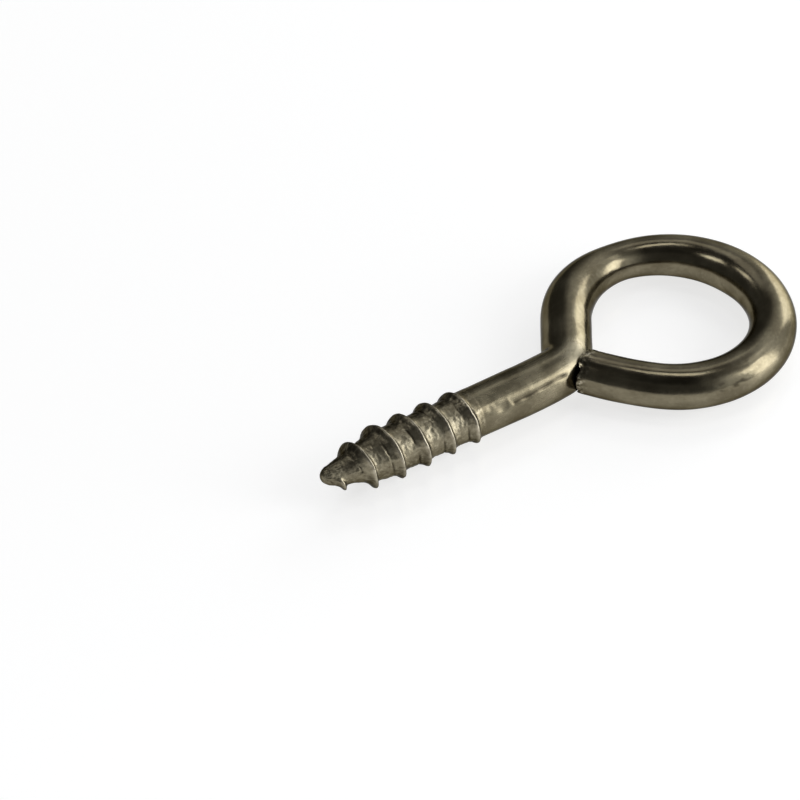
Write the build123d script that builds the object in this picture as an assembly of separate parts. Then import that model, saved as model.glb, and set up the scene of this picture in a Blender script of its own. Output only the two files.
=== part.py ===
from build123d import *
import math
import os

# Screw eye: one length of round wire. One end has a coarse wood thread with a
# gimlet point. The other end is bent aside at the neck and then round into an
# eye, and its sheared face stops against a flat on the outside of the neck.
#
# Millimetres. The wire is shaped with its straight part along X, the tip at -X,
# the first bend starting at the origin and the eye flat in XY. It is then laid
# down as it rests, on the eye's far side and one turn of the thread.

# Straight part, its lengths measured from the tip
STRAIGHT_LENGTH = 25.6
THREAD_LENGTH = 20.09
SHOULDER_AT = 19.32  # the shank starts here, at the last turn's foot
SHOULDER_LENGTH = 0.4
SHANK_START_D = 5.45
SHANK_D = 5.56  # where the first bend starts
ROOT_D = 5.13
POINT_LENGTH = 7.0
TIP_D = 1.63
TIP_BEVEL = 0.4

# Thread: one right-handed ridge whose turns close up towards the shank
RIDGE_START = 1.6
RIDGE_START_ANGLE = 151.0  # about X, from +Y towards +Z
PITCH = 3.487
PITCH_CLOSING = 0.069  # the pitch lost with each turn
RIDGE_SWAY = 0.24  # the ridge's lean along X, towards the shank on its +Y side
CREST_START_D = 2.86
CREST_RISE_LENGTH = 6.5
CREST_D = 6.88
CREST_NARROWING = 0.67  # the crest diameter lost along the thread
RUN_OUT_LENGTH = 1.35
RIDGE_FOOT_WIDTH = 1.3
RIDGE_CREST_WIDTH = 0.54
CREST_ROUNDING = 0.1
RIDGE_EMBED = 0.3  # depth of the ridge's foot inside the core
POINTS_PER_TURN = 12

# Bends of the wire in turn. Radii are to the wire's centreline. The set and the
# neck turn left, the others right.
SET_RADIUS = 52.0
SET_ANGLE = 6.4
NECK_RADIUS = 3.97
NECK_ANGLE = 64.7
NEAR_LIMB_RADIUS = 13.6
NEAR_LIMB_ANGLE = 36.5
EYE_RADIUS = 11.17
UPPER_LIMB_ANGLE = 39.4
CROWN_ANGLE = 71.0
FAR_LIMB_ANGLE = 74.4
LOWER_LIMB_ANGLE = 74.7
END_LIMB_RADIUS = 31.7
END_LIMB_ANGLE = 11.5

# The wire's diameter where each bend ends. It is thinnest before the crown.
SET_END_D = 5.57
NECK_END_D = 5.1
NEAR_LIMB_END_D = 5.54
UPPER_LIMB_END_D = 4.22
CROWN_END_D = 5.14
FAR_LIMB_END_D = 5.23
LOWER_LIMB_END_D = 4.94
END_LIMB_END_D = 5.0
NECK_SQUEEZE = 0.016  # share of the neck's width lost by bending it so sharply
SQUEEZE_EASE = 2.0  # length over which that comes and goes

# Sheared end, and the flat it stops against
NECK_FLAT_DEPTH = 0.6
END_GAP = 0.2  # room between the sheared face and the flat
SHEAR_SLANT = 14.0  # angle of the sheared face from square
SHEAR_SPARE_ANGLE = 10.0  # bent past the end, then sheared off

# A new section of the bent wire comes at least as often as this
STATION_ANGLE = 10.0
STATION_SPACING = 1.5


def core_radius(along):
    """Radius of the core under the thread, at a distance from the tip."""
    share = min(1.0, along / POINT_LENGTH)
    return (TIP_D + share * (ROOT_D - TIP_D)) / 2


def crest_radius(along):
    """Radius of the ridge's crest, which sinks into the core where the thread ends."""
    rise = min(1.0, along / CREST_RISE_LENGTH)
    diameter = CREST_START_D + rise * (CREST_D - CREST_START_D)
    diameter -= CREST_NARROWING * along / THREAD_LENGTH
    fade = max(0.0, min(1.0, (THREAD_LENGTH - along) / RUN_OUT_LENGTH))
    sunk = core_radius(along) - RIDGE_EMBED / 2
    return sunk + (diameter / 2 - sunk) * fade


def straight_part():
    """Bevelled tip, tapered point, core, shoulder and plain shank, turned about X."""
    tip = -STRAIGHT_LENGTH
    shoulder = tip + SHOULDER_AT
    outline = Polyline(
        (tip, 0),
        (tip, TIP_D / 2 - TIP_BEVEL),
        (tip + TIP_BEVEL, TIP_D / 2),
        (tip + POINT_LENGTH, ROOT_D / 2),
        (shoulder - SHOULDER_LENGTH, ROOT_D / 2),
        (shoulder, SHANK_START_D / 2),
        (0, SHANK_D / 2),
        (0, 0),
        close=True,
    )
    return revolve(make_face(outline), Axis.X)


def ridge_distance(turn):
    """Distance of the ridge from the tip after so many turns."""
    return RIDGE_START + PITCH * turn - PITCH_CLOSING * turn**2 / 2


def ridge_corners(turn):
    """Corners of the ridge's section, in the plane through the axis at this turn."""
    along = ridge_distance(turn)
    angle = math.radians(RIDGE_START_ANGLE) + 2 * math.pi * turn
    foot = core_radius(along) - RIDGE_EMBED
    crest = max(crest_radius(along), foot + CREST_ROUNDING)
    half_foot = RIDGE_FOOT_WIDTH / 2
    half_crest = RIDGE_CREST_WIDTH / 2
    section = [
        (-half_foot, foot),
        (-half_crest, crest - CREST_ROUNDING),
        (CREST_ROUNDING - half_crest, crest),
        (half_crest - CREST_ROUNDING, crest),
        (half_crest, crest - CREST_ROUNDING),
        (half_foot, foot),
    ]
    middle = along - STRAIGHT_LENGTH + RIDGE_SWAY * math.cos(angle)
    return [
        Vector(middle + side, radius * math.cos(angle), radius * math.sin(angle))
        for side, radius in section
    ]


def ridge_rails(first, last):
    """The curves that the section's corners follow from one turn to another."""
    steps = max(3, math.ceil((last - first) * POINTS_PER_TURN))
    turns = [first + (last - first) * step / steps for step in range(steps + 1)]
    nudge = 1e-4
    rails = []
    for corner in range(len(ridge_corners(first))):
        tangents = [
            (ridge_corners(end + nudge)[corner] - ridge_corners(end - nudge)[corner]) / (2 * nudge)
            for end in (first, last)
        ]
        points = [ridge_corners(turn)[corner] for turn in turns]
        rails.append(Edge.make_spline(points, tangents, parameters=turns, scale=False))
    return rails


def thread_ridge():
    """The ridge as a solid: ruled faces between its rails, a turn at a time, and two ends."""
    whole = 0
    while ridge_distance(whole + 1) < THREAD_LENGTH:
        whole += 1
    last = whole + (THREAD_LENGTH - ridge_distance(whole)) / (PITCH - PITCH_CLOSING * whole)
    stops = [*range(whole + 1), last]
    faces = []
    for first, second in zip(stops, stops[1:]):
        rails = ridge_rails(first, second)
        for rail, neighbour in zip(rails, rails[1:] + rails[:1]):
            faces.append(Face.make_surface_from_curves(rail, neighbour))
    for end in (stops[0], stops[-1]):
        faces.append(make_face(Polyline(*ridge_corners(end), close=True)).face())
    return Solid(Shell(faces))


def kept_across(along):
    """Share of the wire's width that is left at a distance along the bends."""
    neck_start = SET_RADIUS * math.radians(SET_ANGLE)
    neck_end = neck_start + NECK_RADIUS * math.radians(NECK_ANGLE)
    away = max(0.0, neck_start - along, along - neck_end)
    return 1 - NECK_SQUEEZE * max(0.0, 1 - away / SQUEEZE_EASE)


def bent_wire(arc, turned, along, start_d, end_d):
    """The wire along one bend, its diameter changing evenly from end to end.

    Ruled bands between close sections keep its mesh several times smaller than a
    smooth surface's, and within a few hundredths of the true bend.
    """
    bands = math.ceil(max(turned / STATION_ANGLE, arc.length / STATION_SPACING))
    sections = []
    for station in range(bands + 1):
        share = station / bands
        height = start_d + share * (end_d - start_d)
        width = height * kept_across(along + share * arc.length)
        across = Plane(origin=arc @ share, x_dir=(0, 0, 1), z_dir=arc % share)
        sections.append(across * Ellipse(height / 2, width / 2))
    return loft(sections, ruled=True)


def eye():
    """The bends from the shank round to the sheared end."""
    bends = [
        (SET_RADIUS, SET_ANGLE, SET_END_D),
        (NECK_RADIUS, NECK_ANGLE, NECK_END_D),
        (NEAR_LIMB_RADIUS, -NEAR_LIMB_ANGLE, NEAR_LIMB_END_D),
        (EYE_RADIUS, -UPPER_LIMB_ANGLE, UPPER_LIMB_END_D),
        (EYE_RADIUS, -CROWN_ANGLE, CROWN_END_D),
        (EYE_RADIUS, -FAR_LIMB_ANGLE, FAR_LIMB_END_D),
        (EYE_RADIUS, -LOWER_LIMB_ANGLE, LOWER_LIMB_END_D),
        (END_LIMB_RADIUS, -END_LIMB_ANGLE - SHEAR_SPARE_ANGLE, END_LIMB_END_D),
    ]
    arcs, limbs = [], []
    place, heading, along, start_d = (0, 0), (1, 0), 0.0, SHANK_D
    for radius, angle, end_d in bends:
        arc = JernArc(place, heading, radius, angle)
        limbs.append(bent_wire(arc, abs(angle), along, start_d, end_d))
        arcs.append(arc)
        place, heading, along, start_d = arc @ 1, arc % 1, along + arc.length, end_d

    # The flat on the outside of the neck and the sheared face are parallel.
    neck, end_arc = arcs[1], arcs[-1]
    end_tangent = end_arc % (END_LIMB_ANGLE / (END_LIMB_ANGLE + SHEAR_SPARE_ANGLE))
    facing = -end_tangent.rotate(Axis.Z, -SHEAR_SLANT)
    reach = NECK_RADIUS + SET_END_D / 2 * (1 - NECK_SQUEEZE) - NECK_FLAT_DEPTH
    flat = Plane(origin=neck.center_point + facing * reach, z_dir=facing)
    flattened = split(limbs[0] + limbs[1] + limbs[2], bisect_by=flat, keep=Keep.BOTTOM)
    end_limb = split(limbs[-1], bisect_by=flat.offset(END_GAP), keep=Keep.TOP)
    return sum(limbs[3:-1], flattened) + end_limb


def laid_down(part):
    """Tips the part so that the eye and the lowest of the thread's turns share the ground."""
    eye_x = part.bounding_box().max.X - CROWN_END_D / 2
    turn = (270 - RIDGE_START_ANGLE) / 360
    tilt = 0
    while ridge_distance(turn) < THREAD_LENGTH:
        along = ridge_distance(turn)
        drop = crest_radius(along) - CROWN_END_D / 2
        tilt = max(tilt, math.degrees(math.atan2(drop, eye_x + STRAIGHT_LENGTH - along)))
        turn += 1
    tipped = part.rotate(Axis.Y, tilt)
    box = tipped.bounding_box()
    middle = box.center()
    return tipped.moved(Location((-middle.X, -middle.Y, -box.min.Z)))


screw_eye = laid_down(straight_part() + thread_ridge() + eye())
os.makedirs("parts", exist_ok=True)
export_step(screw_eye, "parts/screw_eye.step")
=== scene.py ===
import math

import bpy
import numpy as np
from mathutils import Matrix, Vector, noise


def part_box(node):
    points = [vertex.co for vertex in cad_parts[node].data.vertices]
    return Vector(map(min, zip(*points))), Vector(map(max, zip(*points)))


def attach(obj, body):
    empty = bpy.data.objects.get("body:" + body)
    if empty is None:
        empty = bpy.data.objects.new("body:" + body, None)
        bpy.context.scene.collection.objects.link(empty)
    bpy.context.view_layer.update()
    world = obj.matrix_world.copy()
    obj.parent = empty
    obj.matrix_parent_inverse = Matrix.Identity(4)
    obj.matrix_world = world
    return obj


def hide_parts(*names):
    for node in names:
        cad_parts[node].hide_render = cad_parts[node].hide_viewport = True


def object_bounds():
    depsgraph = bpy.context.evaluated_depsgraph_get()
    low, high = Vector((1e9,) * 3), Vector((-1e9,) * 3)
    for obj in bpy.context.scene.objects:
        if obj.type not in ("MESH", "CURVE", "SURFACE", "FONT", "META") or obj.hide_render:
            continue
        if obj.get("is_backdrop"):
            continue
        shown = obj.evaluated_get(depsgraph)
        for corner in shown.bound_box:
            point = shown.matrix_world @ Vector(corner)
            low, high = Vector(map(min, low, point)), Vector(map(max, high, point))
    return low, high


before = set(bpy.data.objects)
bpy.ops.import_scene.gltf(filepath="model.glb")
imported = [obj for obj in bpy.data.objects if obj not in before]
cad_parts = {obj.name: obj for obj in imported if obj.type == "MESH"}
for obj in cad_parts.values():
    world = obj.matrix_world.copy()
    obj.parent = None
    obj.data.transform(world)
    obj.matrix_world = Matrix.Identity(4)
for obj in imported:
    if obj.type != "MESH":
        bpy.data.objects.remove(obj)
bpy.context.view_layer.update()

NODE = "screw_eye"

# The wire in millimetres, shaped with its straight part along X, the tip at -X,
# the first bend starting at the origin and the eye flat in XY. Angles round the wire
# start on its left, which is +Y on the straight part, and go towards +Z.

# Straight part, its lengths measured from the tip
STRAIGHT_LENGTH = 25.6
THREAD_LENGTH = 20.09
SHOULDER_AT = 19.32
SHOULDER_LENGTH = 0.8
SHOULDER_LEAN = 1.5  # the shoulder follows the last turn, and so starts earlier on one side
SHOULDER_LEAN_ANGLE = math.radians(110)
SHANK_START_D = 5.45
SHANK_D = 5.56
ROOT_D = 5.13
POINT_LENGTH = 7.0
TIP_D = 1.63
TIP_ROUNDING = 1.0
TIP_BLUNT = 0.3  # share of the tip's width that its rounding starts from
TIP_LIFT = 0.35  # the point was pinched a little off the axis

# Thread: one right-handed ridge whose turns close up towards the shank
RIDGE_START = 1.6
RIDGE_START_ANGLE = math.radians(151.0)
PITCH = 3.487
PITCH_CLOSING = 0.069
RIDGE_SWAY = 0.24
RIDGE_RISE_TURN = 0.16
CREST_START_D = 2.86
CREST_RISE_LENGTH = 6.5
CREST_D = 6.88
CREST_NARROWING = 0.67
RUN_OUT_LENGTH = 1.35
TIP_FLANK = 0.50  # from the crest's line to half the ridge's height
SHANK_FLANK = 0.27
FLANK_POWER = 2.3
TURNS = 7  # enough to cover the thread from any angle

# Bends in turn: radius to the centreline, degrees turned (left is positive) and
# the wire's diameter where the bend ends. The neck is sharper than the CAD's and
# a nearly straight limb follows it. The two paths lie up to 0.7 mm apart.
SET, NECK, STRAIGHT_LIMB, NEAR_LIMB, FAR_SIDE, END_LIMB = 0, 1, 2, 3, 5, 8
SHEAR_SPARE_ANGLE = 10.0  # bent past the end, then sheared off
BENDS = [
    (52.0, 5.84, 5.57),
    (3.0, 48.58, 5.62),
    (2000.0, -0.183, 5.62),
    (12.84, -19.637, 5.54),
    (11.17, -39.4, 4.22),
    (11.17, -71.0, 5.14),
    (11.17, -74.4, 5.23),
    (11.17, -74.7, 4.94),
    (31.7, -11.5 - SHEAR_SPARE_ANGLE, 5.0),
]
FAR_SIDE_D = BENDS[FAR_SIDE][2]
DIAMETER_SMOOTHING = 2.0
NECK_SQUEEZE = 0.016
SQUEEZE_EASE = 2.0

# Flat on the outside of the neck, and the sheared face that stops against it
FLAT_FROM = (5.35, 4.27)  # centre of the CAD's neck bend, which the two are measured from
FLAT_AT = 6.16
FLAT_DEPTH = 0.5
FLAT_TILT = 0.2  # how much deeper the flat is with height
FLAT_PRESSED = 0.9  # the flat still swells a little
END_GAP = 0.19
END_LIP = 0.6  # how far the sheared rim laps over and under the neck
END_RAGGED = 0.3
RAGGED_WAVES = ((1.0, 2.6), (0.25, 5.0))  # share, and radius of the circle the noise is read on
RAGGED_SHIFT = 0.4  # share of that radius by which the circle is raised off the noise's lattice
SHEAR_SLANT = 14.0  # of the sheared face from square
RIM_WIDTH = 0.8
RIM_LUMPS = 0.07
RIM_SINK = 0.2  # taken from the lumps' noise, so that they sink more than they swell
UNSHEARED_ROWS = 4  # rows of the last limb that the shear never reaches

# Lumps of noise: their size in millimetres, along, across and up where these
# differ, and a shift that keeps each apart from the others
WANDER_GRAIN = (1.6, 3.1)
NICK_GRAIN = (0.9, 8.7)
BLUNTING_GRAIN = (2.5, 1.9)
LAP_GRAIN = (1.3, 7.7)
ROUGH_GRAIN = (0.55, 5.3)
FINE_GRAIN = (0.28, 2.2)
DRAWN_GRAIN = ((2.6, 2.2, 2.2), 4.4)
RIM_GRAIN = ((0.9, 1.1, 1.1), 6.1)
PIT_GRAIN = ((0.8, 0.5, 0.5), 9.2)

# What rolling left on the thread, and drawing on the rest
WANDER = 0.10  # of the ridge along the wire
NICKS = 0.10  # share of the ridge's height
BLUNTING = 0.05
LAP_DEPTH = 0.09  # the thin fold at the foot of the flank that faces the tip
LAP_OFFSET = 1.0
LAP_WIDTH = 0.13
LAP_KEPT = 0.45
LAP_BROKEN = 1.8
VALLEY_DEPTH = 0.045
VALLEY_SINK = 0.6  # added to the valleys' noise, so that they mostly sink
FINE_SHARE = 0.6
CREST_SPARED = 0.7  # share of the valleys' roughness that the crests lack
ROUGH_FADE = 0.6
DRAWN_UNEVEN = 0.02  # millimetres off the bent wire's radius

# Painted shade, painted highlight and wear on the thread: widths along it in
# millimetres, angles round it in degrees, where 90 is its top
CREST_WIDTH = 0.2
FLANK_OFFSET = 0.5
FLANK_WIDTH = 0.4
LIT_SIDE_ANGLE = 148.0  # the lit side, with the least painted shade and the most painted highlight on the crests
LIT_SIDE_WIDTH = 45
# a pale band of painted highlight on the thread's lit side
LIT_BAND_ANGLE = 134.0
LIT_BAND_WIDTH = 27
LIT_BAND_SHARE = 0.75
# painted shade: the thread's tip-facing flanks, its top and its underside are darker
FLANK_SHADE = 0.85
TOP_SHADE = 0.8
TOP_SPAN = (103, 63)  # where the painted shade on top begins, and is full
BACK_SPAN = (-10, 40)  # where it is thinnest towards the back, and full again
BACK_KEPT = 0.35
UNDER_SHADE = 0.85
UNDER_SPAN = (183, 213)
LEAST_WORN = 0.15  # share of the crests' pale wear away from the lit side, where the pale is also painted highlight
# painted shade on the nose
NOSE_SHADE_SHARE = 0.8

# Marks in millimetres along the wire and degrees round it
SEAM = [(22.8, 151), (25.1, 149), (27.3, 146), (28.9, 143), (30.3, 145)]  # place, angle
SEAM_WIDTH = 0.2
SEAM_DEPTH = 0.10
SEAM_UNEVEN = 0.35
SEAM_WAVE = 2.6  # radians a millimetre
SEAM_STARTS = 0.4  # lengths over which it comes and goes
SEAM_STOPS = 0.8
# painted shade in the seam's groove
SEAM_SHADE = 0.85
DENTS = [  # place, angle, half-length, half-width, depth
    (21.7, 153, 0.65, 0.42, 0.12),
    (22.5, 146, 0.22, 0.5, -0.035),
    (20.2, 141, 0.35, 0.3, 0.03),
    (20.9, 138, 0.3, 0.25, 0.025),
    (20.6, 118, 0.6, 0.5, 0.02),
    (24.3, 108, 1.1, 0.5, 0.02),
]
# painted shade on the nose
NOSE_SHADE = (2.9, 130, 0.8, 26)  # place, angle, half-length, half-width in degrees
# a paler, rougher patch on the neck: partly a scuff, partly painted highlight
NECK_SCUFF_AND_HIGHLIGHT = (32.1, 112, 1.6, 34)
PITTED = (87.6, 26, 2.2, 11)
PIT_SPAN = (0.05, 0.25)  # of the noise, from no pit to a full one

# Mesh
AROUND = 128
THREAD_STEP = 0.07
SHANK_STEP = 0.14
WIRE_STEP = 0.28
END_STEP = 0.14
PAST_SHOULDER = 0.6  # length beyond the shoulder with rows as close as the thread's
NOSE_RINGS = 4
FACE_RINGS = 14
WIRE_RADIUS = 2.7  # of the even cylinder on which noise is laid
MARKS = ("crest", "flank", "lap", "highlight_and_scuff", "rim")


def clamp(value, low=0.0, high=1.0):
    return np.clip(value, low, high)


def smooth(value):
    value = clamp(value)
    return value * value * (3 - 2 * value)


def ramp(value, start, end):
    """Nothing up to the start and one from the end, smooth between them."""
    return smooth((value - start) / (end - start))


def bell(value):
    """One at zero, and falling to nothing on both sides."""
    return np.exp(-(value * value))


def patch(along, turned, spot):
    """A soft patch at a place and angle, of a half-length and a half-width."""
    place, at, length, width = spot
    return bell((along - place) / length) * bell((np.degrees(turned) - at) / width)


def wire_places(along, turned):
    """Points on an even, unbent wire, where the noise of shape and colour is laid."""
    return np.stack([along, WIRE_RADIUS * np.cos(turned), WIRE_RADIUS * np.sin(turned)], -1)


def grain(points, size, shift):
    """Noise at these points, between about -1 and 1."""
    scaled = points.reshape(-1, 3) / np.array(size) + shift
    values = np.array([noise.noise(Vector(p)) for p in scaled.tolist()])
    return values.reshape(points.shape[:-1])


def shoulder_at(angle):
    return SHOULDER_AT - SHOULDER_LEAN * (1 + np.cos(angle - SHOULDER_LEAN_ANGLE)) / 2


def core_radius(along, shoulder=SHOULDER_AT):
    """Radius of the wire without its ridge, at a distance from the tip."""
    share = clamp(along / POINT_LENGTH)
    nose = np.sqrt(clamp(1 - (1 - clamp(along / TIP_ROUNDING)) ** 2))
    nose = TIP_BLUNT + (1 - TIP_BLUNT) * nose
    root = (TIP_D + share * (ROOT_D - TIP_D)) / 2 * nose
    share = clamp((along - SHOULDER_AT) / (STRAIGHT_LENGTH - SHOULDER_AT))
    shank = (SHANK_START_D + (SHANK_D - SHANK_START_D) * share) / 2
    return root + (shank - root) * smooth((along - shoulder) / SHOULDER_LENGTH + 1)


def crest_radius(along):
    """Radius of the ridge's crest, which sinks into the core where the thread ends."""
    rise = clamp(along / CREST_RISE_LENGTH)
    diameter = CREST_START_D + rise * (CREST_D - CREST_START_D)
    diameter = diameter - CREST_NARROWING * along / THREAD_LENGTH
    fade = smooth((THREAD_LENGTH - along) / RUN_OUT_LENGTH)
    core = core_radius(along)
    return core + (diameter / 2 - core) * fade


def ridge_distance(turn):
    """Distance of the ridge from the tip after so many turns."""
    return RIDGE_START + PITCH * turn - PITCH_CLOSING * turn * turn / 2


def thread_radius(along, angle, wire):
    """Radius of the threaded part, and how near each point is to a crest, a tip flank and a lap."""
    wander = WANDER * grain(wire, *WANDER_GRAIN)
    nicks = NICKS * clamp(grain(wire, *NICK_GRAIN)) + BLUNTING * clamp(grain(wire, *BLUNTING_GRAIN))
    core = core_radius(along, shoulder_at(angle))
    height = np.maximum(0, crest_radius(along) - core) * (1 - nicks)
    radius = core.copy()
    crest, flank, lap = np.zeros_like(core), np.zeros_like(core), np.zeros_like(core)
    for whole in range(TURNS):
        turn = (angle - RIDGE_START_ANGLE) / (2 * math.pi) + whole
        off = along - ridge_distance(turn) - RIDGE_SWAY * np.cos(angle) - wander
        half = np.where(off < 0, TIP_FLANK, SHANK_FLANK)
        share = 1 / (1 + np.abs(off / half) ** FLANK_POWER)
        begun = smooth(turn / RIDGE_RISE_TURN)
        present = begun * smooth((THREAD_LENGTH - along) / RUN_OUT_LENGTH)
        radius = np.maximum(radius, core + height * share * begun)
        crest = np.maximum(crest, bell(off / CREST_WIDTH) * present)
        flank = np.maximum(flank, bell((off + FLANK_OFFSET) / FLANK_WIDTH) * present)
        lap = np.maximum(lap, bell((off + LAP_OFFSET) / LAP_WIDTH) * present)
    return radius, crest, flank, lap


def shank_marks(along, turned):
    """Depth of the pressed seam and of the dents on the shank, and how near the seam is."""
    degrees = np.degrees(turned)
    places, angles = zip(*SEAM)
    off = (degrees - np.interp(along, places, angles)) * math.radians(SHANK_D / 2)
    ends = smooth((along - places[0]) / SEAM_STARTS), smooth((places[-1] - along) / SEAM_STOPS)
    seam = bell(off / SEAM_WIDTH) * ends[0] * ends[1]
    depth = SEAM_DEPTH * (1 + SEAM_UNEVEN * np.sin(along * SEAM_WAVE)) * seam
    for place, at, length, width, deep in DENTS:
        off = (degrees - at) * math.radians(SHANK_D / 2)
        depth = depth + deep * bell((along - place) / length) * bell(off / width)
    return depth, seam


def marks_on_thread(along, turned, threaded, crest, flank):
    """Where the threaded part is worn on its crests, and where it gets painted shade, and painted
    highlight on its lit side, by the side it is on.
    """
    degrees = np.degrees(turned)
    # the lit side, which gets the least painted shade and the most painted highlight on the crests
    lit_side = bell((degrees - LIT_SIDE_ANGLE) / LIT_SIDE_WIDTH)
    # painted shade on the tip-facing flanks, on top, thinner towards the back, and underneath
    back = BACK_KEPT + (1 - BACK_KEPT) * ramp(degrees, *BACK_SPAN)
    top = TOP_SHADE * ramp(degrees, *TOP_SPAN) * back
    under = UNDER_SHADE * np.maximum(flank, crest) * ramp(degrees, *UNDER_SPAN)
    painted_shade = np.maximum(FLANK_SHADE * flank * (1 - lit_side), threaded * np.maximum(top, under))
    # pale crests: wear everywhere, and painted highlight on the lit side
    worn_and_highlight = crest * (LEAST_WORN + (1 - LEAST_WORN) * lit_side)
    # a band of painted highlight on the lit side
    lit_band = LIT_BAND_SHARE * threaded * bell((degrees - LIT_BAND_ANGLE) / LIT_BAND_WIDTH)
    # painted shade on the nose
    darkened = NOSE_SHADE_SHARE * patch(along, turned, NOSE_SHADE)
    return {"crest": worn_and_highlight, "flank": painted_shade, "lap": darkened, "highlight_and_scuff": lit_band}


def straight_grid(angle):
    """Rows of the straight part from its tip: points, wire places, and what marks the steel."""
    fine = np.arange(0.0, SHOULDER_AT + PAST_SHOULDER, THREAD_STEP)
    shank = np.arange(fine[-1] + SHANK_STEP, STRAIGHT_LENGTH, SHANK_STEP)
    along, turned = np.meshgrid(np.concatenate([fine, shank]), angle, indexing="ij")
    wire = wire_places(along, turned)
    radius, crest, flank, lap = thread_radius(along, turned, wire)
    lap = lap * clamp(LAP_KEPT + LAP_BROKEN * grain(wire, *LAP_GRAIN))
    threaded = 1 - smooth((along - shoulder_at(turned)) / ROUGH_FADE + 1)
    rough = grain(wire, *ROUGH_GRAIN) + FINE_SHARE * grain(wire, *FINE_GRAIN)
    valleys = VALLEY_DEPTH * (VALLEY_SINK + rough) * (1 - CREST_SPARED * crest)
    depth, seam = shank_marks(along, turned)
    radius = radius - threaded * (LAP_DEPTH * lap + valleys) - depth
    marks = marks_on_thread(along, turned, threaded, crest, flank)
    # painted shade in the lap fold and the seam, with the nose's painted shade
    marks["lap"] = np.maximum.reduce([lap * threaded, SEAM_SHADE * seam, marks["lap"]])
    lift = TIP_LIFT * (1 - clamp(along / POINT_LENGTH)) ** 2
    across, up = radius * np.cos(turned), radius * np.sin(turned) + lift
    return np.stack([along - STRAIGHT_LENGTH, across, up], -1), wire, marks


def bend_rows():
    """Place, heading, diameter and distance of rows along the bends, and where each bend starts."""
    place = np.array([0.0, 0.0])
    heading, along, start_d = 0.0, 0.0, SHANK_D
    rows, starts = [], []
    for number, (radius, degrees, end_d) in enumerate(BENDS):
        angle = math.radians(degrees)
        side = math.copysign(1.0, angle)
        centre = place + side * radius * np.array([-math.sin(heading), math.cos(heading)])
        length = abs(angle) * radius
        count = math.ceil(length / (END_STEP if number == END_LIMB else WIRE_STEP))
        starts.append(along)
        for share in np.arange(1, count + 1) / count:
            turned = heading + angle * share
            spot = centre - side * radius * np.array([-math.sin(turned), math.cos(turned)])
            diameter = start_d + (end_d - start_d) * share
            rows.append((*spot, turned, diameter, along + share * length))
        place = np.array(rows[-1][:2])
        heading, along, start_d = heading + angle, along + length, end_d
    return np.array(rows), starts


def smoothed(values, along, width):
    """Values averaged over their neighbours along the wire, ever less towards its start."""
    weights = np.exp(-(((along[:, None] - along[None, :]) / width) ** 2))
    edge = smooth(along / (2 * width))
    average = (weights @ values) / weights.sum(axis=1)
    return values + (average - values) * edge


def half_width(rows, wire):
    """Half the wire's width along the bends, smooth from bend to bend and a little uneven."""
    half = smoothed(rows[:, 3], rows[:, 4], DIAMETER_SMOOTHING) / 2
    return half[:, None] - DRAWN_UNEVEN * (1 + grain(wire, *DRAWN_GRAIN))


def kept_across(along, starts):
    """Share of the wire's width that is left where the neck was bent so sharply."""
    away = np.maximum(0.0, np.maximum(starts[NECK] - along, along - starts[STRAIGHT_LIMB]))
    kept = 1 - NECK_SQUEEZE * (1 + np.cos(np.pi * clamp(away / SQUEEZE_EASE))) / 2
    return kept[:, None]


def rim_lumps(distance, wire):
    """Height of the lumps that the shear left round the wire's end."""
    near = bell(np.maximum(0.0, distance - FLAT_AT - END_GAP) / RIM_WIDTH)
    return RIM_LUMPS * near * (grain(wire, *RIM_GRAIN) - RIM_SINK)


def rim_reach(angle, height):
    """Distance at which the shear cuts the wire, lapping over where the neck curves away."""
    neck_half = BENDS[SET][2] / 2
    curved_away = neck_half - math.sqrt(max(0.0, neck_half**2 - height**2)) - FLAT_DEPTH
    spot = Vector((math.cos(angle), math.sin(angle), RAGGED_SHIFT))
    ragged = sum(share * noise.noise(spot * lumps) for share, lumps in RAGGED_WAVES)
    lip = min(END_LIP, max(0.0, curved_away))
    return FLAT_AT + END_GAP - lip + END_RAGGED * max(0.0, ragged)


def shear(plan, up, distance, reach, first):
    """Gathers all rows beyond the shear onto its rim, and returns the last row that counts."""
    last = first
    for j, stop in enumerate(reach):
        k = first + int(np.argmax(distance[first:, j] < stop))
        share = (distance[k - 1, j] - stop) / (distance[k - 1, j] - distance[k, j])
        plan[k:, j] = plan[k - 1, j] + (plan[k, j] - plan[k - 1, j]) * share
        up[k:, j] = up[k - 1, j] + (up[k, j] - up[k - 1, j]) * share
        last = max(last, k)
    return last


def marks_on_bends(far, turned, wire, seam, rim):
    """Where the bent wire is torn, where its seam has painted shade and its pits are dark, and where
    the neck's scuff is paler, partly as painted highlight.
    """
    pits = patch(far, turned, PITTED) * ramp(grain(wire, *PIT_GRAIN), *PIT_SPAN)
    # painted shade in the seam, and real dark pits
    darkened = np.maximum(SEAM_SHADE * seam, pits)
    # the neck's patch: partly a scuff, partly painted highlight
    return {"rim": rim, "lap": darkened, "highlight_and_scuff": patch(far, turned, NECK_SCUFF_AND_HIGHLIGHT)}


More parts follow.
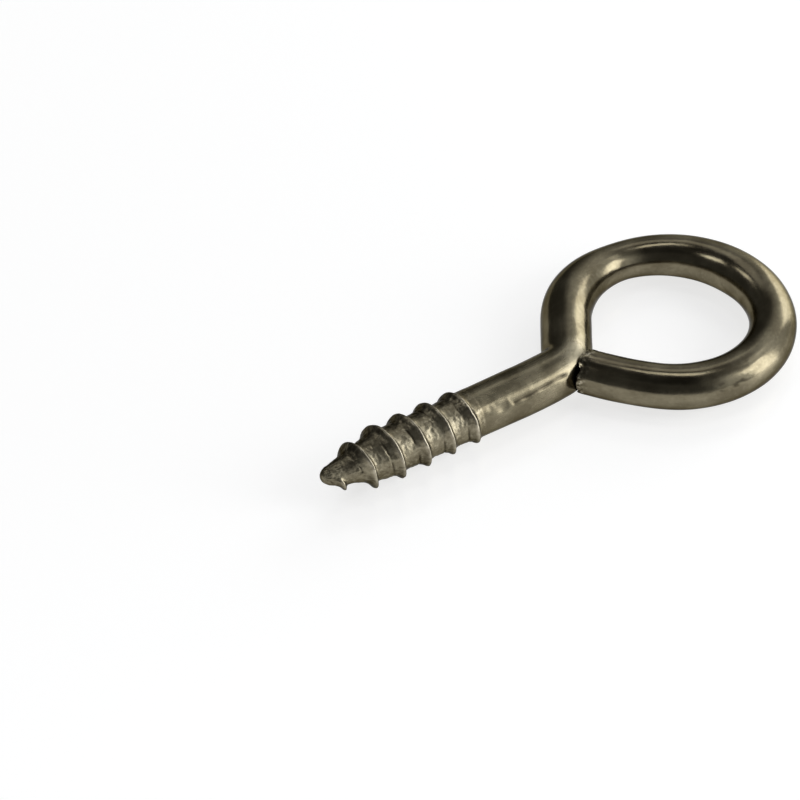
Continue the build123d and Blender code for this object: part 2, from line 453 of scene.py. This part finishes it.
def bent_grid(angle):
    """Rows round the bends: points, wire places, and what marks the steel."""
    rows, starts = bend_rows()
    along = rows[:, 4]
    across = np.stack([-np.sin(rows[:, 2]), np.cos(rows[:, 2])], -1)[:, None, :]
    far, turned = np.meshgrid(along + STRAIGHT_LENGTH, angle, indexing="ij")
    wire = wire_places(far, turned)
    depth, seam = shank_marks(far, turned)
    half = half_width(rows, wire) - depth
    plan = rows[:, None, :2] + across * (half * kept_across(along, starts) * np.cos(angle))[:, :, None]
    up = half * np.sin(angle)

    # The flat on the neck, measured towards the sheared face
    end_heading = rows[-1, 2] + math.radians(SHEAR_SPARE_ANGLE - SHEAR_SLANT)
    facing = np.array([math.cos(end_heading), math.sin(end_heading)])
    distance = -(plan - np.array(FLAT_FROM)) @ facing
    beyond = np.maximum(0.0, distance - FLAT_AT + FLAT_TILT * up)
    beyond = beyond * (along < starts[NEAR_LIMB])[:, None]
    plan = plan + (beyond * FLAT_PRESSED)[:, :, None] * facing

    # The sheared end, lumpy and ragged
    at_end = (along > starts[END_LIMB])[:, None]
    lumps = rim_lumps(distance, wire) * at_end
    plan = plan + across * (lumps * np.cos(angle))[:, :, None]
    up = up + lumps * np.sin(angle)
    first = int(np.searchsorted(along, starts[END_LIMB])) + UNSHEARED_ROWS
    reach = np.array([rim_reach(*pair) for pair in zip(angle, up[first])])
    last = shear(plan, up, distance, reach, first)
    rim = bell(np.maximum(0.0, distance - reach) / RIM_WIDTH) * at_end

    points = np.concatenate([plan, up[:, :, None]], -1)
    marks = marks_on_bends(far, turned, wire, seam, rim)
    kept_marks = {name: values[: last + 1] for name, values in marks.items()}
    return points[: last + 1], wire[: last + 1], kept_marks


def cap(rim, rings, middle):
    """Rings from a rim to its middle."""
    shares = 1 - np.arange(1, rings) / rings
    return middle + (rim - middle)[None] * shares[:, None, None]


def laid_down(points):
    """Puts the wire's points where the CAD node lies, in metres, and fits them to its box."""
    low, high = (np.array(corner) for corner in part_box(NODE))
    eye_x = points[:, 0].max() - FAR_SIDE_D / 2
    turns = np.arange(0, TURNS) + (1.5 * math.pi - RIDGE_START_ANGLE) / (2 * math.pi)
    along = ridge_distance(turns)
    along = along[along < THREAD_LENGTH]
    drop = crest_radius(along) - FAR_SIDE_D / 2
    tilt = np.arctan2(drop, eye_x + STRAIGHT_LENGTH - along).max()
    tipped = points @ np.array(Matrix.Rotation(tilt, 3, "Y")).T
    size = tipped.max(axis=0) - tipped.min(axis=0)
    middle = (tipped.max(axis=0) + tipped.min(axis=0)) / 2
    return (tipped - middle) * (high - low) / size + (low + high) / 2


def grid_faces(rows):
    """Quads between the rows, and triangles from the two middles to the first and last row."""
    i, j = np.meshgrid(np.arange(rows - 1), np.arange(AROUND), indexing="ij")
    after = (j + 1) % AROUND
    corners = [i * AROUND + j, i * AROUND + after, (i + 1) * AROUND + after, (i + 1) * AROUND + j]
    faces = [tuple(quad) for quad in np.stack(corners, -1).reshape(-1, 4).tolist()]
    nose_middle, last_row = rows * AROUND, (rows - 1) * AROUND
    for j in range(AROUND):
        after = (j + 1) % AROUND
        faces.append((nose_middle, after, j))
        faces.append((nose_middle + 1, last_row + j, last_row + after))
    return faces


def add_marks(mesh, placed_marks):
    """Attributes from each grid's marks, given with the row that the grid starts at."""
    for name in MARKS:
        values = np.zeros(len(mesh.vertices))
        for first_row, marks in placed_marks:
            if name in marks:
                start = first_row * AROUND
                values[start : start + marks[name].size] = marks[name].ravel()
        mesh.attributes.new(name, "FLOAT", "POINT").data.foreach_set("value", values)


def steel_mesh():
    """The whole wire as one closed skin from the tip to the sheared face."""
    angle = np.linspace(0, 2 * math.pi, AROUND, endpoint=False) - math.pi / 2
    straight, straight_wire, straight_marks = straight_grid(angle)
    bent, bent_wire, bent_marks = bent_grid(angle)
    nose_middle = straight[0].mean(axis=0)
    sides = np.argsort(np.abs(np.sin(angle)))[:2]
    face_middle = bent[-1][sides].mean(axis=0)
    nose = cap(straight[0], NOSE_RINGS, nose_middle)[::-1]
    face = cap(bent[-1], FACE_RINGS, face_middle)
    grid = np.concatenate([nose, straight, bent, face])
    points = np.concatenate([grid.reshape(-1, 3), [nose_middle], [face_middle]])

    nose_wire = np.repeat(straight_wire[:1], len(nose), 0)
    face_wire = np.repeat(bent_wire[-1:], len(face), 0)
    wire = np.concatenate([nose_wire, straight_wire, bent_wire, face_wire])
    wire = np.concatenate([wire.reshape(-1, 3), wire[0, :1], wire[-1, :1]])

    mesh = bpy.data.meshes.new("screw_eye_steel")
    mesh.from_pydata(laid_down(points).tolist(), [], grid_faces(len(grid)))
    mesh.update()
    mesh.shade_smooth()
    mesh.attributes.new("wire", "FLOAT_VECTOR", "POINT").data.foreach_set("vector", wire.ravel())
    bent_row = len(nose) + len(straight)
    add_marks(mesh, [(len(nose), straight_marks), (bent_row, bent_marks)])
    return mesh


class Nodes:
    """Short calls for adding and joining shader nodes in one tree."""

    def __init__(self, tree):
        self.tree = tree

    def add(self, kind, *values, **settings):
        """A node with these settings, and these values in its first sockets."""
        node = self.tree.nodes.new("ShaderNode" + kind)
        for name, value in settings.items():
            setattr(node, name, value)
        for socket, value in zip(node.inputs, values):
            self.set(socket, value)
        return node

    def set(self, socket, value):
        if isinstance(value, bpy.types.NodeSocket):
            self.tree.links.new(value, socket)
        else:
            socket.default_value = value

    def attribute(self, name, output="Fac"):
        return self.add("Attribute", attribute_name=name).outputs[output]

    def math(self, operation, *values):
        return self.add("Math", *values, operation=operation).outputs[0]

    def total(self, base, *terms):
        """A base, to which each term adds its value times its weight."""
        for value, weight in terms:
            base = self.math("MULTIPLY_ADD", value, weight, base)
        return base

    def span(self, value, start, end, low=0.0, high=1.0):
        """A smooth step from low to high as the value goes from start to end."""
        node = self.add("MapRange", value, start, end, low, high, interpolation_type="SMOOTHSTEP")
        return node.outputs["Result"]

    def mix(self, share, first, second):
        node = self.add("Mix", share, data_type="RGBA")
        self.set(node.inputs[6], first)
        self.set(node.inputs[7], second)
        return node.outputs[2]

    def noise(self, vector, size, detail, rough):
        """Noise whose lumps have this size along, across and up, in the vector's units."""
        scaled = self.add("VectorMath", vector, size, operation="DIVIDE")
        node = self.add("TexNoise", scaled.outputs["Vector"])
        self.set(node.inputs["Scale"], 1.0)
        self.set(node.inputs["Detail"], detail)
        self.set(node.inputs["Roughness"], rough)
        return node.outputs["Fac"]


# Steel: colours, then the noises in it by size, detail and roughness
STEEL = (0.21, 0.185, 0.125, 1.0)
DARK_STEEL = (0.09, 0.075, 0.047, 1.0)
# pale spots, and the colour of the painted highlight on the thread's lit side and the neck
PALE_STEEL_AND_HIGHLIGHT = (0.34, 0.305, 0.22, 1.0)
# worn crests and rim, and the painted highlight on the crests' lit side
WORN_STEEL_AND_HIGHLIGHT = (0.55, 0.5, 0.39, 1.0)
# colour of the painted shade on the thread's flanks, top and underside
PAINTED_SHADE = (0.035, 0.03, 0.022, 1.0)
# painted shade in the lap fold, the seam and on the nose, and the dark of the pits and the rim
GRIME_AND_SHADE = (0.028, 0.022, 0.014, 1.0)
EDGE_TINT = (0.35, 0.35, 0.35, 1.0)
CLOUDS = ((3.2, 2.4, 2.4), 3.0, 0.5)
SPECKLE = ((0.42, 0.42, 0.42), 3.0, 0.6)
FINE = ((0.16, 0.16, 0.16), 2.0, 0.5)
STREAKS = ((4.5, 0.3, 0.3), 3.0, 0.6)

# Spans along the wire of the thread's end and of the shank's drawn finish
THREAD_FADE = (SHOULDER_AT - 0.4, SHOULDER_AT)
DRAWN_FADE = (27.0, 33.0)

# Clouds of darker steel, then the layers over them in turn. Each layer shows where
# its mark is, by a share that changes with the speckle.
CLOUD_SPAN = (0.35, 0.7)
CLOUD_SHARE = 0.6
PALE_SPOTS = (0.15, 0.5)  # share on the plain wire, and what the thread adds
DARK_SPOTS = (0.2, 0.52)
LAYERS = [  # mark, speckle from and to, share there, colour
    ("pale spots", (0.5, 0.72), (0.0, 1.0), PALE_STEEL_AND_HIGHLIGHT),
    ("dark spots", (0.45, 0.3), (0.0, 1.0), DARK_STEEL),
    # painted highlight on the thread's lit side, and the neck's scuff with painted highlight
    ("highlight_and_scuff", (0.35, 0.6), (0.6, 1.0), PALE_STEEL_AND_HIGHLIGHT),
    # painted shade in the lap fold, the seam and on the nose, and the dark pits
    ("lap", (0.0, 1.0), (0.85, 0.85), GRIME_AND_SHADE),
    # painted shade on the thread's flanks, top and underside
    ("flank", (0.4, 0.6), (1.0, 0.6), PAINTED_SHADE),
    # crest wear, with painted highlight on the lit side
    ("crest", (0.3, 0.6), (0.4, 1.0), WORN_STEEL_AND_HIGHLIGHT),
    ("rim", (0.53, 0.66), (0.0, 1.0), WORN_STEEL_AND_HIGHLIGHT),
    ("rim", (0.48, 0.42), (0.0, 1.0), GRIME_AND_SHADE),
]

# Roughness: of the plain wire, and what adds to it or varies it
ROUGHNESS = 0.20
THREAD_ROUGHER = 0.05
DRAWN_ROUGHER = 0.06
PALE_PATCH_ROUGHER = 0.12
CLOUDS_ROUGHER = 0.16
STREAKS_ROUGHER = 0.12

# Height in millimetres of the finest relief: on the plain wire, and what is added
# on the thread or by drawing
FINE_HEIGHT = (0.002, 0.010)
SPECKLE_HEIGHT = (0.004, 0.03)
STREAK_HEIGHT = (0.004, 0.010)
CLOUD_HEIGHT = 0.03
MILLIMETRE = 0.001


def steel_colour(nodes, threaded, clouds, speckle):
    """Clouded steel under its layers."""
    clouded = nodes.mix(nodes.span(clouds, *CLOUD_SPAN), DARK_STEEL, STEEL)
    colour = nodes.mix(CLOUD_SHARE, STEEL, clouded)
    marks = {name: nodes.attribute(name) for name in MARKS}
    marks["pale spots"] = nodes.total(PALE_SPOTS[0], (threaded, PALE_SPOTS[1]))
    marks["dark spots"] = nodes.total(DARK_SPOTS[0], (threaded, DARK_SPOTS[1]))
    for name, speckle_span, shares, paint in LAYERS:
        share = nodes.math("MULTIPLY", marks[name], nodes.span(speckle, *speckle_span, *shares))
        colour = nodes.mix(share, colour, paint)
    return colour


def steel_roughness(nodes, threaded, drawn, clouds, streaks):
    """Roughness that the thread, the drawn finish and bare patches add to."""
    return nodes.total(
        ROUGHNESS,
        (threaded, THREAD_ROUGHER),
        (drawn, DRAWN_ROUGHER),
        (nodes.attribute("highlight_and_scuff"), PALE_PATCH_ROUGHER),
        (nodes.math("SUBTRACT", clouds, 0.5), CLOUDS_ROUGHER),
        (nodes.math("SUBTRACT", streaks, 0.5), STREAKS_ROUGHER),
    )


def steel_relief(nodes, threaded, drawn, clouds, speckle, fine, streaks):
    """A surface normal with relief too fine for the mesh."""
    height = nodes.total(
        0.0,
        (fine, nodes.total(FINE_HEIGHT[0], (threaded, FINE_HEIGHT[1]))),
        (speckle, nodes.total(SPECKLE_HEIGHT[0], (threaded, SPECKLE_HEIGHT[1]))),
        (streaks, nodes.total(STREAK_HEIGHT[0], (drawn, STREAK_HEIGHT[1]))),
        (clouds, CLOUD_HEIGHT),
    )
    bump = nodes.add("Bump")
    nodes.set(bump.inputs["Strength"], 1.0)
    nodes.set(bump.inputs["Distance"], MILLIMETRE)
    nodes.set(bump.inputs["Height"], height)
    return bump.outputs["Normal"]


def steel_material():
    """Dull darkened steel, worn on the crests with painted highlight on their lit side, and with
    painted shade in the folds, in the seam and on the thread's flanks, top and underside.
    """
    material = bpy.data.materials.new("brushed_steel")
    material.use_nodes = True
    nodes = Nodes(material.node_tree)
    shader = material.node_tree.nodes["Principled BSDF"]
    wire = nodes.attribute("wire", "Vector")
    along = nodes.add("SeparateXYZ", wire).outputs[0]
    threaded = nodes.span(along, *THREAD_FADE, 1.0, 0.0)
    drawn = nodes.span(along, *DRAWN_FADE, 1.0, 0.0)
    clouds = nodes.noise(wire, *CLOUDS)
    speckle = nodes.noise(wire, *SPECKLE)
    fine = nodes.noise(wire, *FINE)
    streaks = nodes.noise(wire, *STREAKS)
    colour = steel_colour(nodes, threaded, clouds, speckle)
    roughness = steel_roughness(nodes, threaded, drawn, clouds, streaks)
    normal = steel_relief(nodes, threaded, drawn, clouds, speckle, fine, streaks)
    nodes.set(shader.inputs["Base Color"], colour)
    nodes.set(shader.inputs["Metallic"], 1.0)
    nodes.set(shader.inputs["Roughness"], roughness)
    nodes.set(shader.inputs["Specular Tint"], EDGE_TINT)
    nodes.set(shader.inputs["Normal"], normal)
    return material


def build_screw_eye():
    piece = bpy.data.objects.new("screw_eye_steel", steel_mesh())
    bpy.context.scene.collection.objects.link(piece)
    piece.data.materials.append(steel_material())
    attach(piece, "root")
    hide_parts(NODE)


# Camera in metres, its lens and sensor in millimetres. Its heading is in degrees
# from +Y towards +X, and it looks down by its elevation.
CAMERA_LENS = 231.3
CAMERA_SENSOR = 36.0
CAMERA_CLIP = (0.01, 20.0)
CAMERA_AIM = Vector((-0.01372, 0.00838, 0.00026))
CAMERA_DISTANCE = 0.5505
CAMERA_HEADING = 35.48
CAMERA_ELEVATION = 41.11
CAMERA_ROLL = 0.44

# Floor
FLOOR_SIZE = 3.0
FLOOR_COLOUR = (0.42, 0.42, 0.42, 1.0)
FLOOR_ROUGHNESS = 0.2
FLOOR_GLOW = 0.72
FLOOR_GLOW_COLOUR = (1.0, 1.0, 1.0, 1.0)

# Room: bright towards one azimuth, dark away from it, and dimmer overhead
ROOM_COLOUR = (0.97, 0.99, 1.0, 1.0)
DARK_SIDE = 0.09
BRIGHT_SIDE = 0.95
BRIGHT_AZIMUTH = 70
BRIGHT_SPAN = (0.12, 0.62)  # cosine of the angle from that azimuth
OVERHEAD = 0.4
OVERHEAD_SPAN = (0.70, 0.85)  # sine of the elevation

# Lights. Azimuths are from the camera's heading, to its right.
PANEL_DISTANCE = 0.8
PANELS = [
    # name, azimuth, elevation, width, height in degrees, radiance
    ("key", 94, 18, 27, 46, 4.1),
    ("second", 34, 9, 28, 38, 3.6),
    ("upper_left", -12, 53, 34, 16, 0.8),
    ("upper_right", 66, 50, 20, 10, 1.0),
    ("far_left", -106, 56, 16, 10, 4.0),
    ("back_left", -60, 45, 14, 9, 3.4),
    ("top", 24, 76, 18, 9, 3.6),
]


def direction(azimuth, elevation):
    """Unit vector at an azimuth right of the camera's heading, in degrees."""
    heading = math.radians(CAMERA_HEADING) + math.radians(azimuth)
    rise = math.radians(elevation)
    level = math.cos(rise)
    return Vector((math.sin(heading) * level, math.cos(heading) * level, math.sin(rise)))


def build_floor():
    bpy.ops.mesh.primitive_plane_add(size=FLOOR_SIZE)
    floor = bpy.context.object
    floor.name = "floor"
    material = bpy.data.materials.new("floor")
    material.use_nodes = True
    shader = material.node_tree.nodes["Principled BSDF"]
    shader.inputs["Base Color"].default_value = FLOOR_COLOUR
    shader.inputs["Roughness"].default_value = FLOOR_ROUGHNESS
    shader.inputs["Emission Color"].default_value = FLOOR_GLOW_COLOUR
    shader.inputs["Emission Strength"].default_value = FLOOR_GLOW
    floor.data.materials.append(material)
    floor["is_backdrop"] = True


def build_world():
    world = bpy.data.worlds.new("studio")
    bpy.context.scene.world = world
    world.use_nodes = True
    nodes = Nodes(world.node_tree)
    background = world.node_tree.nodes["Background"]
    place = nodes.add("TexCoord").outputs["Generated"]
    bright_way = direction(BRIGHT_AZIMUTH, 0)
    brightward = nodes.add("VectorMath", place, bright_way, operation="DOT_PRODUCT")
    side = nodes.span(brightward.outputs["Value"], *BRIGHT_SPAN, DARK_SIDE, BRIGHT_SIDE)
    height = nodes.add("SeparateXYZ", place).outputs[2]
    overhead = nodes.span(height, *OVERHEAD_SPAN, 1.0, OVERHEAD)
    nodes.set(background.inputs["Color"], ROOM_COLOUR)
    nodes.set(background.inputs["Strength"], nodes.math("MULTIPLY", side, overhead))


def panel_span(degrees):
    """Width of a panel that covers this many degrees."""
    return 2 * PANEL_DISTANCE * math.tan(math.radians(degrees / 2))


def build_lights():
    low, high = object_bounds()
    aim = (low + high) / 2
    for name, azimuth, elevation, width, height, radiance in PANELS:
        data = bpy.data.lights.new(name, "AREA")
        data.shape = "RECTANGLE"
        data.size = panel_span(width)
        data.size_y = panel_span(height)
        data.energy = math.pi * data.size * data.size_y * radiance
        light = bpy.data.objects.new(name, data)
        bpy.context.scene.collection.objects.link(light)
        light.location = aim + direction(azimuth, elevation) * PANEL_DISTANCE
        light.rotation_euler = (aim - light.location).to_track_quat("-Z", "Y").to_euler()


def build_camera():
    data = bpy.data.cameras.new("camera")
    data.lens = CAMERA_LENS
    data.sensor_width = CAMERA_SENSOR
    data.clip_start, data.clip_end = CAMERA_CLIP
    camera = bpy.data.objects.new("camera", data)
    bpy.context.scene.collection.objects.link(camera)
    look = direction(0, -CAMERA_ELEVATION)
    roll = Matrix.Rotation(math.radians(CAMERA_ROLL), 3, "Z")
    camera.location = CAMERA_AIM - look * CAMERA_DISTANCE
    camera.rotation_euler = (look.to_track_quat("-Z", "Y").to_matrix() @ roll).to_euler()
    bpy.context.scene.camera = camera


build_screw_eye()
build_floor()
build_world()
build_lights()
build_camera()
bpy.context.scene.view_settings.view_transform = "Standard"
